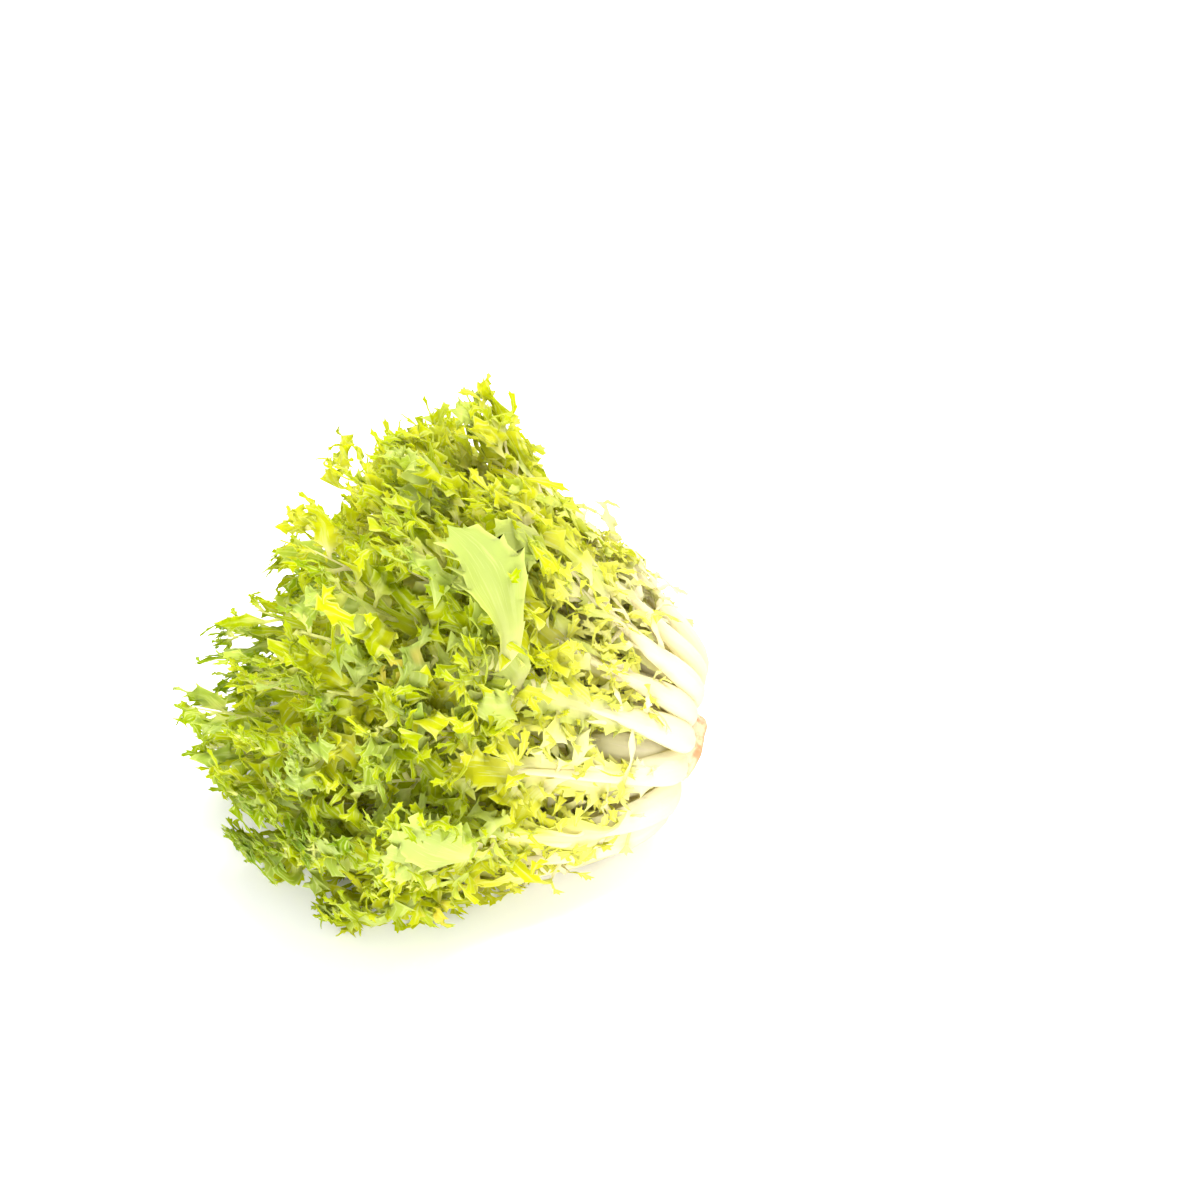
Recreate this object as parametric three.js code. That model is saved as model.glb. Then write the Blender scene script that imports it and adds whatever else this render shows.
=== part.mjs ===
// A head of curly endive (frisée), cut at the stem and lying on its side.
// Every leaf grows from a short, domed crown. The leaves stand in six rings round the head's axis: long
// green ones outside, short yellow ones in the heart. Each leaf is one thin closed body: a thick pale rib
// with pairs of toothed, ruffled lobes cut to the rib, and a toothed lobe at its end.
//
// Units are millimetres, +Z is up and the table is z = 0. The cut stem points to +X.
//
// A leaf is first drawn flat, as points (x along the rib, y across, z ruffle). Those points are then placed
// round the crown by one smooth, one-to-one map of space, so leaves that are apart when flat stay apart.

import * as THREE from "three";

// ---- driving dimensions ----
const HEAD = {
  lift: 23, // degrees that the axis rises from the cut stem to the heart
  yaw: 3, // degrees that it turns from -X to +Y
  crownHeight: 29, // of the crown's centre above the table
  crownRadius: 18,
  stumpRadius: 15, // of the cut face
  stumpLength: 12, // from the crown's centre to the cut face
  gap: 0.75, // between a leaf's foot and the crown
};

// The mass of leaves fills an egg shape that passes through the crown.
const MASS = { length: 258, width: 284, height: 216 };
const MASS_CENTRE = [-0.87, 0.0, 0.49]; // from the crown, in half sizes
const SAG = 26; // how much lower the leaves hang at the two sides

const RINGS = [
  { name: "outer", count: 10, polar: 64, lobes: 6, reach: 1.0, foot: 4.7, colour: 0xa4b636 },
  { name: "second", count: 10, polar: 52.5, lobes: 6, reach: 1.0, foot: 4.4, colour: 0xb4c03c },
  { name: "third", count: 9, polar: 41, lobes: 5, reach: 0.98, foot: 4.3, colour: 0xc2c846 },
  { name: "fourth", count: 7, polar: 29.5, lobes: 4, reach: 0.92, foot: 4.2, colour: 0xd0d152 },
  { name: "inner", count: 5, polar: 18.5, lobes: 4, reach: 0.85, foot: 3.9, colour: 0xdcd862 },
  { name: "heart", count: 3, polar: 7.5, lobes: 3, reach: 0.76, foot: 2.5, colour: 0xe8e27c },
];

const LEAF = {
  bladeStart: 0.24, // share of the leaf's length that is bare rib
  bladeEnd: 0.95,
  ribFoot: 2.6, // thickness of the rib at the crown
  blade: 0.9, // thickness of the lobes
  press: 1.5, // height over the table below which a leaf lies flat on it
  cellWidth: 0.9, // share of its own sector that a leaf spreads over
  cellDepth: 0.074, // ruffle, as a share of the distance from the crown
};

// The teeth and notches of one lobe, as [along the lobe, across it], from the side nearer the crown.
const LOBE = [
  [0.7, -0.96],
  [0.66, -0.42],
  [1.0, 0.0],
  [0.76, 0.44],
  [0.92, 0.98],
];
const PALM = [0.4, 0.0];

// ---- small helpers ----
const radians = THREE.MathUtils.degToRad;
const mix = THREE.MathUtils.lerp;
const smooth = THREE.MathUtils.smoothstep;

// A repeatable draw from 0 to 1 for leaf k: the fraction of a large sine.
function draw(k, salt) {
  const s = Math.sin(k * 12.9898 + salt * 78.233) * 43758.5453;
  return s - Math.floor(s);
}

// ---- the map from a flat leaf to the head ----
const [lift, yaw] = [radians(HEAD.lift), radians(HEAD.yaw)];
const across = new THREE.Vector3(-Math.sin(yaw), -Math.cos(yaw), 0); // level, towards the front
const axis = new THREE.Vector3( // from the cut stem to the heart
  -Math.cos(lift) * Math.cos(yaw),
  Math.cos(lift) * Math.sin(yaw),
  Math.sin(lift),
);
const upper = new THREE.Vector3().crossVectors(axis, across);
const crown = new THREE.Vector3(0, 0, HEAD.crownHeight);

// Leaves leave the crown sideways and close towards the axis, as the bowl of a head does.
function cupping(radius) {
  return 0.72 + 0.7 * Math.exp(-(((radius - HEAD.crownRadius) / 62) ** 1.6));
}

// The head's own weight folds the leaves towards the axis: a lot below it, a little above it.
function folding(radius, around) {
  const below = Math.max(0, -Math.sin(around)) ** 2.2;
  const above = Math.max(0, Math.sin(around)) ** 1.5;
  return 1 - (0.31 * below + 0.16 * above) * smooth(radius, HEAD.crownRadius + 12, HEAD.crownRadius + 50);
}

// The table flattens what would sink into it: heights far above it are kept, those below end just over it.
// Close to the crown nothing is moved.
function onTable(height, radius) {
  const softness = 3;
  const pressed = 1 + softness * Math.log(1 + Math.exp((height - 1) / softness));
  return mix(height, pressed, smooth(radius, HEAD.crownRadius + 4, HEAD.crownRadius + 24));
}

// A direction round the crown, given by its angle from the axis and its turn round it, at a distance.
function bend(polar, around, radius) {
  const turn = around + 0.1 * Math.sin(radius / 47 + 2 * polar);
  const waver = 0.035 * Math.sin(3 * around + radius / 33);
  const angle = polar * (cupping(radius) * folding(radius, around) + waver);
  return new THREE.Vector3()
    .addScaledVector(across, Math.sin(angle) * Math.cos(turn))
    .addScaledVector(upper, Math.sin(angle) * Math.sin(turn))
    .addScaledVector(axis, Math.cos(angle));
}

// How far the mass of leaves reaches in a direction: the far side of an egg shape through the crown.
function massReach(direction) {
  const half = new THREE.Vector3(MASS.length / 2, MASS.width / 2, MASS.height / 2);
  const scaled = direction.clone().divide(half);
  return (2 * scaled.dot(new THREE.Vector3(...MASS_CENTRE))) / scaled.lengthSq();
}

// A flat leaf's point in the head.
function placeInHead(leaf, x, y, z) {
  const radius = HEAD.crownRadius + HEAD.gap + x;
  const ray = leaf.out.clone().addScaledVector(leaf.side, y / radius).addScaledVector(leaf.back, z / radius);
  ray.normalize();
  const point = bend(Math.acos(ray.z), Math.atan2(ray.y, ray.x), radius).multiplyScalar(radius).add(crown);
  point.z = onTable(point.z - SAG * (point.y / (MASS.width / 2)) ** 2, radius);
  return point;
}

// ---- leaves ----
// Where leaf number i of a ring grows, and how long it is.
function growLeaf(ring, ringNumber, i) {
  const k = ringNumber * 20 + i;
  const around = ((i + 0.5 * (ringNumber % 2) + 0.25) / ring.count) * 2 * Math.PI + 0.1 * (draw(k, 1) - 0.5);
  const polar = radians(ring.polar + 1.2 * (draw(k, 2) - 0.5));
  const out = new THREE.Vector3(
    Math.sin(polar) * Math.cos(around),
    Math.sin(polar) * Math.sin(around),
    Math.cos(polar),
  );
  const side = new THREE.Vector3(-Math.sin(around), Math.cos(around), 0);
  const back = new THREE.Vector3(
    Math.cos(polar) * Math.cos(around),
    Math.cos(polar) * Math.sin(around),
    -Math.sin(polar),
  );
  let tip = 0.7 * MASS.length;
  for (let pass = 0; pass < 4; pass++) tip = massReach(bend(polar, around, tip));
  tip *= ring.reach * mix(0.93, 1.05, draw(k, 3));
  const length = tip - HEAD.crownRadius;
  const sector = (Math.sin(polar) * Math.PI) / ring.count;
  return { k, ring, out, side, back, length, sector };
}

// Half the rib's width: wide in the bare stalk, narrow in the blade, and never wider than the leaf's sector.
function ribHalf(leaf, x) {
  const t = x / leaf.length;
  const swell = 1.6 * Math.sin(Math.PI * Math.min(1, t / 0.36));
  const wanted = leaf.ring.foot + swell - (leaf.ring.foot - 0.9) * Math.min(1, t) ** 0.8;
  return Math.min(wanted, 0.9 * leaf.sector * (HEAD.crownRadius + x) - 0.1);
}

// How far a lobe may spread from the rib's middle without leaving the leaf's sector.
function lobeReach(leaf, x) {
  const t = (x / leaf.length - LEAF.bladeStart) / (LEAF.bladeEnd - LEAF.bladeStart);
  const shape = mix(0.6, 1, smooth(t, 0, 0.5)) * mix(1, 0.72, smooth(t, 0.7, 1));
  return LEAF.cellWidth * leaf.sector * (HEAD.crownRadius + x) * shape;
}

// The flat leaf as a sheet: points with a thickness each, and triangles that all face the same way.
function leafSheet(leaf) {
  const points = [];
  const triangles = [];
  const add = (x, y, z, thickness) =>
    points.push({ at: placeInHead(leaf, x, y + sway(x), z), thickness }) - 1;
  const sway = (x) => 0.05 * (HEAD.crownRadius + x) * leaf.sector * Math.sin(x / 26 + 6 * draw(leaf.k, 4));
  const thicknessAt = (x) => mix(LEAF.ribFoot, LEAF.blade, Math.min(1, x / leaf.length / 0.7));

  const count = leaf.ring.lobes;
  const start = LEAF.bladeStart * leaf.length;
  const spacing = ((LEAF.bladeEnd - LEAF.bladeStart) * leaf.length) / (count + 0.35);
  const lobeX = (i) => start + (i + 0.5) * spacing;
  const stations = [0, 0.3 * start, 0.68 * start];
  for (let i = 0; i < count; i++) stations.push(lobeX(i) - 0.24 * spacing, lobeX(i) + 0.24 * spacing);

  const rib = stations.map((x) => ({
    left: add(x, ribHalf(leaf, x), 0, thicknessAt(x)),
    right: add(x, -ribHalf(leaf, x), 0, thicknessAt(x)),
  }));
  for (let i = 1; i < rib.length; i++) {
    const [from, to] = [rib[i - 1], rib[i]];
    triangles.push([from.right, to.right, to.left], [from.right, to.left, from.left]);
  }

  // A fan of triangles round a palm point. The outline runs from one neck corner to the other.
  const fan = (palm, outline, flip) => {
    for (let i = 0; i < outline.length; i++) {
      const next = outline[(i + 1) % outline.length];
      triangles.push(flip ? [palm, next, outline[i]] : [palm, outline[i], next]);
    }
  };
  const ruffle = (x, along, turns, phase) =>
    LEAF.cellDepth * (HEAD.crownRadius + x) * along ** 1.5 * Math.sin(turns * Math.PI + phase);

  for (let i = 0; i < count; i++) {
    for (const [hand, sign] of [["left", 1], ["right", -1]]) {
      const salt = 10 + 2 * i + (sign > 0 ? 1 : 0);
      const phase = 6.28 * draw(leaf.k, salt);
      const neck = ribHalf(leaf, lobeX(i));
      const reach = (lobeReach(leaf, lobeX(i)) - neck) * mix(0.82, 1, draw(leaf.k, salt + 20));
      const lean = mix(0.25, 0.6, draw(leaf.k, 40)); // all lobes of a leaf lean alike, so that none cross
      const corner = ([along, wide]) => {
        const y = neck + along * reach;
        const x = lobeX(i) + 0.47 * spacing * wide + lean * along * spacing;
        return add(x, sign * y, ruffle(x, along, 1.3 * wide, phase), LEAF.blade);
      };
      const outline = LOBE.map(corner);
      const [near, far] = [rib[3 + 2 * i][hand], rib[4 + 2 * i][hand]];
      fan(corner(PALM), [near, ...outline, far], sign > 0);
    }
  }

  const last = stations[stations.length - 1];
  const room = leaf.length - last;
  const width = 0.62 * lobeReach(leaf, last);
  const phase = 6.28 * draw(leaf.k, 50);
  const end = (along, wide) =>
    add(last + along * room, wide * width, ruffle(last, along, wide, phase), LEAF.blade);
  const crownOfTip = [end(0.55, -1), end(0.42, -0.4), end(1, 0.05), end(0.48, 0.42), end(0.66, 0.98)];
  const { left, right } = rib[rib.length - 1];
  fan(end(0.3, 0), [right, ...crownOfTip, left], false);
  return { points, triangles };
}

// ---- from a sheet to a closed solid ----
// Both faces have the same triangles, each corner moved half its thickness along the sheet's normal there.
// What comes close to the table is pressed flat on it.
function thicken({ points, triangles }) {
  const normals = points.map(() => new THREE.Vector3());
  for (const corners of triangles) {
    const facet = new THREE.Triangle(...corners.map((corner) => points[corner].at));
    const normal = facet.getNormal(new THREE.Vector3());
    for (const corner of corners) normals[corner].add(normal);
  }
  const faces = [[], []];
  points.forEach((p, i) => {
    const half = normals[i].normalize().multiplyScalar(p.thickness / 2);
    const pair = [p.at.clone().add(half), p.at.clone().sub(half)];
    const low = pair[0].z < pair[1].z ? 0 : 1;
    if (pair[low].z < LEAF.press) pair[low].z = 0;
    pair[1 - low].z = Math.max(pair[1 - low].z, LEAF.blade);
    faces.forEach((face, side) => face.push(...pair[side]));
  });
  const positions = faces.flat();
  const under = points.length;
  const index = [];
  const edges = new Map();
  for (const [a, b, c] of triangles) {
    index.push(a, b, c, under + a, under + c, under + b);
    for (const [from, to] of [[a, b], [b, c], [c, a]]) {
      if (!edges.delete(to + "," + from)) edges.set(from + "," + to, [from, to]);
    }
  }
  for (const [from, to] of edges.values()) index.push(from, under + from, under + to, from, under + to, to);
  const geometry = new THREE.BufferGeometry();
  geometry.setAttribute("position", new THREE.Float32BufferAttribute(positions, 3));
  geometry.setIndex(index);
  return geometry;
}

// ---- crown ----
// A domed stem turned on the head's axis: leaves grow from the dome, and the flat end is the cut.
function crownGeometry() {
  const profile = [
    new THREE.Vector2(0, -HEAD.stumpLength),
    new THREE.Vector2(HEAD.stumpRadius - 1.5, -HEAD.stumpLength),
    new THREE.Vector2(HEAD.stumpRadius, -HEAD.stumpLength + 1.5),
  ];
  const steps = 7;
  for (let i = 0; i < steps; i++) {
    const polar = radians(mix(112, 0, i / steps));
    const point = new THREE.Vector2(Math.sin(polar), Math.cos(polar));
    profile.push(point.multiplyScalar(HEAD.crownRadius));
  }
  profile.push(new THREE.Vector2(0, HEAD.crownRadius));
  const geometry = new THREE.LatheGeometry(profile, 18);
  geometry.applyQuaternion(new THREE.Quaternion().setFromUnitVectors(new THREE.Vector3(0, 1, 0), axis));
  geometry.translate(crown.x, crown.y, crown.z);
  return geometry;
}

// ---- the head ----
function material(colour) {
  return new THREE.MeshStandardMaterial({ color: colour, roughness: 0.55, metalness: 0 });
}

const head = new THREE.Group();
const addPiece = (name, geometry, finish) => {
  const mesh = new THREE.Mesh(geometry, finish);
  mesh.name = name;
  head.add(mesh);
};

addPiece("crown", crownGeometry(), material(0xf1dcc0));
RINGS.forEach((ring, ringNumber) => {
  const finish = material(ring.colour);
  for (let i = 0; i < ring.count; i++) {
    const number = String(i + 1).padStart(2, "0");
    addPiece(`leaf_${ring.name}_${number}`, thicken(leafSheet(growLeaf(ring, ringNumber, i))), finish);
  }
});

// The origin is under the middle of the head, on the table.
const box = new THREE.Box3().setFromObject(head);
const middle = box.getCenter(new THREE.Vector3());
head.position.set(-middle.x, -middle.y, -box.min.z);

export default head;
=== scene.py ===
# %% [markdown]
# # A head of curly endive
#
# A frisée head is one short stem with dozens of leaves on it. Each is a fleshy white stalk that runs on
# as a rib, and carries ribbons of thin leaf that are toothed, ruffled and curled. The head lies on its
# side, with the cut stem to the right and the mop of leaves to the left.
#
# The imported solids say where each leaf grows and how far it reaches, and this file gives the leaf its real
# surface. We first load the solids as a fixed frame, and note the box that the leaves have to stay in.

import bpy
import numpy as np
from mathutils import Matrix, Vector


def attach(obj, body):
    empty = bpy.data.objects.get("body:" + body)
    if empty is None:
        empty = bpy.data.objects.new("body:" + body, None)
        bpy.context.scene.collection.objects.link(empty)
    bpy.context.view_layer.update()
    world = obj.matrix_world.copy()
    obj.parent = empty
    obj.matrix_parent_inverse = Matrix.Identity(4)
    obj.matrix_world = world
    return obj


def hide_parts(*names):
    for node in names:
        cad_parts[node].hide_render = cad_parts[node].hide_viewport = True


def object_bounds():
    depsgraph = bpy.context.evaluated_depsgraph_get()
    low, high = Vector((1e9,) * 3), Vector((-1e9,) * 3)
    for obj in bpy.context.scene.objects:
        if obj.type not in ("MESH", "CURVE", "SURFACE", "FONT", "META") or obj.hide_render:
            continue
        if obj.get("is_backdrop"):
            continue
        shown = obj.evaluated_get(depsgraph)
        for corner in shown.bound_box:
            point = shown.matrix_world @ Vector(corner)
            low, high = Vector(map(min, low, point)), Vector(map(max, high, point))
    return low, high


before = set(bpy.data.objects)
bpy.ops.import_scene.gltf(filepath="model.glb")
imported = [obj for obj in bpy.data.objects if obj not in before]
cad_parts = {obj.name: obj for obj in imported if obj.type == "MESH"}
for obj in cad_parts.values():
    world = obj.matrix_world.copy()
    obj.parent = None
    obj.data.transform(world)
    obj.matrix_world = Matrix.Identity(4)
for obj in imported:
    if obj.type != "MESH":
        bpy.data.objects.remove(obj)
solid_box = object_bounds()
print(len(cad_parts), "solids to dress")

# %% [markdown]
# ## The camera
#
# A long lens far away keeps the head's proportions true. The camera looks from the front and well above,
# at a point up and to the right of the head's middle, so that the head sits low and left in the picture.
# A Track To constraint could turn the camera, but a rotation worked out once can't drift.

# %% Place the camera
from mathutils import Vector

CROWN_AT = Vector((105.34, -8.3, 29.0)) / 1000  # where all the leaves start, in metres
VIEW_HEIGHT = np.radians(38)  # of the camera above the table, as an angle
AIM_LEFT, AIM_RAISED = 0.0318, 0.0645  # from the crown to what the camera looks at, in metres
CAMERA_DISTANCE = 1.29


def in_scene(name, data):
    """A new object in the scene, with the given mesh, lamp or camera."""
    made = bpy.data.objects.new(name, data)
    bpy.context.scene.collection.objects.link(made)
    return made


away = Vector((0, -np.cos(VIEW_HEIGHT), np.sin(VIEW_HEIGHT)))
picture_up = Vector((0, np.sin(VIEW_HEIGHT), np.cos(VIEW_HEIGHT)))
aim = CROWN_AT + Vector((-AIM_LEFT, 0, 0)) + picture_up * AIM_RAISED

camera = in_scene("camera", bpy.data.cameras.new("camera"))
camera.data.sensor_width = 36
camera.data.lens = 85
camera.location = aim + away * CAMERA_DISTANCE
camera.rotation_euler = away.to_track_quat("Z", "Y").to_euler()
camera.data.clip_end = 20
bpy.context.scene.camera = camera
print("camera at", [round(v, 3) for v in camera.location])

# %% [markdown]
# ## How the head is laid out
#
# A head grows in rows: long green leaves outside, short yellow ones in the heart. These are the sizes that
# the solids were drawn with, in millimetres. Blender could scatter leaves with a random seed, but each has
# to lie on its own solid. So a repeatable draw stands in for chance: the fraction of a large sine.

# %% Sizes of the head
CROWN_RADIUS = 18.0
STUMP_RADIUS = 15.0  # of the cut face
STUMP_LENGTH = 12.0  # from the crown's centre to the cut face
FOOT_GAP = 0.75  # between the crown and a leaf's foot
LIFT, YAW = np.radians(23), np.radians(3)  # how the axis rises from the stem, and turns aside
MASS = np.array([258.0, 284.0, 216.0])  # length, width and height of the egg that the leaves fill
MASS_CENTRE = np.array([-0.87, 0.0, 0.49])  # from the crown, in half sizes
SAG = 26.0  # how much lower the leaves hang at the two sides

ROWS = {  # leaves, angle from the axis, reach, half the foot's width, shoots a side, lobes, greenness
    "outer": dict(count=10, polar=64.0, reach=1.0, foot=4.7, shoots=15, lobes=2, green=1.0),
    "second": dict(count=10, polar=52.5, reach=1.0, foot=4.4, shoots=15, lobes=2, green=0.86),
    "third": dict(count=9, polar=41.0, reach=0.98, foot=4.3, shoots=12, lobes=1, green=0.7),
    "fourth": dict(count=7, polar=29.5, reach=0.92, foot=4.2, shoots=9, lobes=0, green=0.52),
    "inner": dict(count=5, polar=18.5, reach=0.85, foot=3.9, shoots=8, lobes=0, green=0.38),
    "heart": dict(count=3, polar=7.5, reach=0.76, foot=2.5, shoots=7, lobes=0, green=0.28),
}


def draw(k, salt):
    """A repeatable draw from 0 to 1: the fraction of a large sine of the leaf's number and a salt."""
    s = np.sin(k * 12.9898 + salt * 78.233) * 43758.5453
    return s - np.floor(s)


def smooth(x, low, high):
    """A step from 0 to 1 between low and high that starts and ends level: 3t^2 - 2t^3."""
    t = np.clip((x - low) / (high - low), 0, 1)
    return t * t * (3 - 2 * t)


def mix(a, b, share):
    """The value that lies the given share of the way from a to b."""
    return a + (b - a) * share


print(sum(row["count"] for row in ROWS.values()), "leaves in", len(ROWS), "rows")

# %% [markdown]
# ## From a flat leaf to the head
#
# A leaf is far easier to design lying flat than curled round a head. So each is drawn in a flat space of
# its own, with x along the rib, y across it and z out of the leaf, and one smooth map bends that space
# round the crown. A lattice modifier could bend meshes too, but this formula placed the solids, and keeps
# every leaf in its own sector. The frill reaches past them, so a last step eases it back to their box.

# %% The map round the crown
across = np.array([-np.sin(YAW), -np.cos(YAW), 0.0])
axis = np.array([-np.cos(LIFT) * np.cos(YAW), np.cos(LIFT) * np.sin(YAW), np.sin(LIFT)])
upper = np.cross(axis, across)


def bend(polar, around, radius):
    """Directions from the crown.

    The angle from the axis shrinks as the leaves close, and shrinks more where the head's weight folds
    them; the turn round the axis wavers by a slow sine of the distance."""
    turn = around + 0.1 * np.sin(radius / 47 + 2 * polar)
    cup = 0.72 + 0.7 * np.exp(-(np.maximum(radius - CROWN_RADIUS, 0) / 62) ** 1.6)
    below = np.maximum(0, -np.sin(around)) ** 2.2
    above = np.maximum(0, np.sin(around)) ** 1.5
    fold = 1 - (0.31 * below + 0.16 * above) * smooth(radius, CROWN_RADIUS + 12, CROWN_RADIUS + 50)
    waver = 0.035 * np.sin(3 * around + radius / 33)
    angle = polar * (cup * fold + waver)
    sideways = np.sin(angle)[..., None]
    turn = turn[..., None]
    return sideways * (np.cos(turn) * across + np.sin(turn) * upper) + np.cos(angle)[..., None] * axis


def on_table(height, radius):
    """Heights pressed by the table: a softened floor at 1 mm, which fades in away from the crown."""
    softness = 3
    pressed = 1 + softness * np.logaddexp(0, (height - 1) / softness)
    return mix(height, pressed, smooth(radius, CROWN_RADIUS + 4, CROWN_RADIUS + 24))


def eased(distance, free, give):
    """Distances pressed in: unchanged up to `free`, then slowed so that they end by free + give."""
    return np.minimum(distance, free) + give * np.tanh(np.maximum(distance - free, 0) / give)


SIDE_LIMIT = (112, 28)  # how far the mass goes freely, and how much it then gives, in millimetres
TOP_LIMIT = (160, 34)
CORNER_GIVE = 36
CORNERS = (((-0.7, -0.71, 0), 78), ((-0.72, 0.6, 0.35), 90))  # direction, and how far it goes freely


def place(leaf, flat):
    """Flat points (x, y, z) of a leaf, as points in the head, in millimetres.

    x is the distance from the foot; y and z tilt the leaf's own direction by y/distance and z/distance;
    the tilted direction is bent round the crown, then sagged and pressed: up from the table, and in from
    the sides, the top and the mop's two far corners."""
    radius = CROWN_RADIUS + FOOT_GAP + flat[..., 0]
    tilt = flat[..., 1:] / radius[..., None]
    ray = leaf["out"] + tilt[..., :1] * leaf["side"] + tilt[..., 1:] * leaf["back"]
    ray /= np.linalg.norm(ray, axis=-1, keepdims=True)
    polar = np.arccos(np.clip(ray[..., 2], -1, 1))
    points = bend(polar, np.arctan2(ray[..., 1], ray[..., 0]), radius) * radius[..., None]
    points[..., 2] += CROWN_AT.z * 1000
    points[..., 2] = on_table(points[..., 2] - SAG * (points[..., 1] / (MASS[1] / 2)) ** 2, radius)
    points[..., 2] = np.maximum(points[..., 2], 0.5)
    points += np.array([CROWN_AT.x, CROWN_AT.y, 0]) * 1000
    points[..., 1] = np.sign(points[..., 1]) * eased(np.abs(points[..., 1]), *SIDE_LIMIT)
    points[..., 2] = eased(points[..., 2], *TOP_LIMIT)
    for corner, free in CORNERS:
        reach = points @ np.array(corner)
        points += (eased(reach, free, CORNER_GIVE) - reach)[..., None] * np.array(corner)
    return points


print("axis of the head", axis.round(3))

# %% [markdown]
# Where a leaf grows, which way it faces and how long it is follow from its row, its place in the row and
# the egg-shaped mass that the tips fill. Each leaf also has its own share of green, and the leaves round
# the top and the lower front of the head are made paler: painted light, for the brighter light there. A
# real head is fuller than the solids, so a younger leaf grows between each two neighbours of the outer
# rows, as part of the first one's piece.

# %% Grow the leaves' layout
def mass_reach(direction):
    """How far the mass goes in a direction: the far side of an egg shape that passes through the crown."""
    scaled = direction / (MASS / 2)
    return 2 * (scaled @ MASS_CENTRE) / (scaled @ scaled)


def near_turn(around, centre):
    """1 for a leaf that grows at the turn `centre`, falling to 0 opposite: a half cosine, squared."""
    return (0.5 + 0.5 * np.cos(around - centre)) ** 2


def grow(row_name, i, polar=0.0, reach=1.0):
    """Leaf i of a row: its own directions out, sideways and backwards, its length and half its sector.

    polar is added to the row's angle, and reach multiplies the row's reach. The leaf's share of green
    varies a little at random, and is lowered round two turns of the head, the top and the lower front:
    painted light, which makes those leaves paler for the brighter light there."""
    row, row_number = ROWS[row_name], list(ROWS).index(row_name)
    k = row_number * 20 + i
    around = ((i + 0.5 * (row_number % 2) + 0.25) / row["count"]) * 2 * np.pi + 0.1 * (draw(k, 1) - 0.5)
    polar = np.radians(row["polar"] + polar + 1.2 * (draw(k, 2) - 0.5))
    (sp, cp), (sa, ca) = (np.sin(polar), np.cos(polar)), (np.sin(around), np.cos(around))
    tip = 0.7 * MASS[0]
    for _ in range(4):
        tip = mass_reach(bend(np.array(polar), np.array(around), np.array(tip)))
    tip *= row["reach"] * reach * mix(0.93, 1.05, draw(k, 3))
    return dict(
        row,
        k=k,
        i=i,
        name=f"leaf_{row_name}_{int(i) + 1:02d}",
        row=row_name,
        out=np.array([sp * ca, sp * sa, cp]),
        side=np.array([-sa, ca, 0.0]),
        back=np.array([cp * ca, cp * sa, -sp]),
        length=tip - CROWN_RADIUS,
        sector=sp * np.pi / row["count"],
        # painted light: leaves near turn 2.3 (the top) and turn -0.6 (the lower front) are made paler; the
        # draw is each leaf's own tone
        ripe=(1 - 0.48 * near_turn(around, 2.3) - 0.27 * near_turn(around, -0.6))
        * mix(0.94, 1.06, draw(k, 5)),
    )


def younger(leaf):
    """A younger leaf that grows half a step on, nearer the axis, shorter and narrower."""
    other = grow(leaf["row"], leaf["i"] + 0.5, polar=-1.5, reach=0.88)
    return dict(other, name=leaf["name"], foot=0.95 * leaf["foot"], shoots=6, lobes=0)


leaves = [grow(name, i) for name in ROWS for i in range(ROWS[name]["count"])]
between_leaves = [younger(leaf) for leaf in leaves if leaf["row"] not in ("inner", "heart")]
lengths = [leaf["length"] for leaf in leaves + between_leaves]
print(len(lengths), "leaves,", round(min(lengths)), "to", round(max(lengths)), "mm long")

# %% [markdown]
# ## Ribbons of leaf
#
# Everything green on the head is a thin ribbon that leaves a rib, widens, waves and curls, with slender
# teeth along its edges. Scattered copies of one made by hand would show as repeats. Instead one function
# carries a cross-section along paths that bend in two ways, for all the ribbons of a leaf at once.

# %% Carry ribbons along bending paths
def carry(start, base, heading, pitch, twist, length, s):
    """Paths and their frames over s, the share of the length.

    At each s a path turns by `heading` within its base plane and climbs by `pitch` out of it; its points
    are the running sum of those directions. `twist` rolls the cross direction about the path. base holds
    each path's own forward, sideways and outward directions."""
    ch, sh, cp, sp = np.cos(heading), np.sin(heading), np.cos(pitch), np.sin(pitch)
    forward = np.stack([cp * ch, cp * sh, sp], axis=-1)
    level = np.stack([-sh, ch, 0 * sh], axis=-1)
    rise = np.cross(forward, level)
    ct, st = np.cos(twist)[..., None], np.sin(twist)[..., None]
    directions = [v @ base for v in (forward, ct * level + st * rise, ct * rise - st * level)]
    steps = np.diff(s, axis=1)[..., None] * length[:, None, None]
    middles = 0.5 * (directions[0][:, 1:] + directions[0][:, :-1]) * steps
    path = start[:, None, :] + np.pad(np.cumsum(middles, axis=1), ((0, 0), (1, 0), (0, 0)))
    return path, *directions


def ribbon(frame_along, half, spikes, ruffle, cup, columns):
    """Surfaces over (s, t), t from -1 to 1 across the ribbon.

    A point stands t half widths across. It is raised by the row's ruffle, which grows with |t| and has
    its own value at each hand, and by a trough, cup times t squared. The edge also runs out into spikes,
    which lean forward and follow the ruffle out of the ribbon's plane."""
    path, forward, cross, normal = frame_along
    t = columns[None, None, :]
    edge = np.abs(t)
    hand = (columns > 0).astype(int)
    spike = spikes[..., hand] * (edge > 0.99)
    z = half[..., None] * (ruffle[..., hand] * edge**1.5 + cup[:, None, None] * edge**2)
    y = half[..., None] * t + spike * np.sign(t)
    offsets = zip((forward, cross, normal), (spike * 0.9, y, z + spike * ruffle[..., hand]))
    return path[:, :, None, :] + sum(way[:, :, None, :] * amount[..., None] for way, amount in offsets)


def toothed(teeth):
    """Shares along a ribbon with so many teeth, and how far up a tooth each row is.

    Each tooth takes three rows: the bay before it, its foot and its tip, which falls back steeply."""
    inside = np.array([0.0, 0.62, 0.82])
    s = np.append((np.arange(teeth)[:, None] + inside).ravel() / teeth, 1.0)
    return s[None, :], np.append(np.tile([0.0, 0.06, 1.0], teeth), 0.0)[None, :, None]


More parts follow.
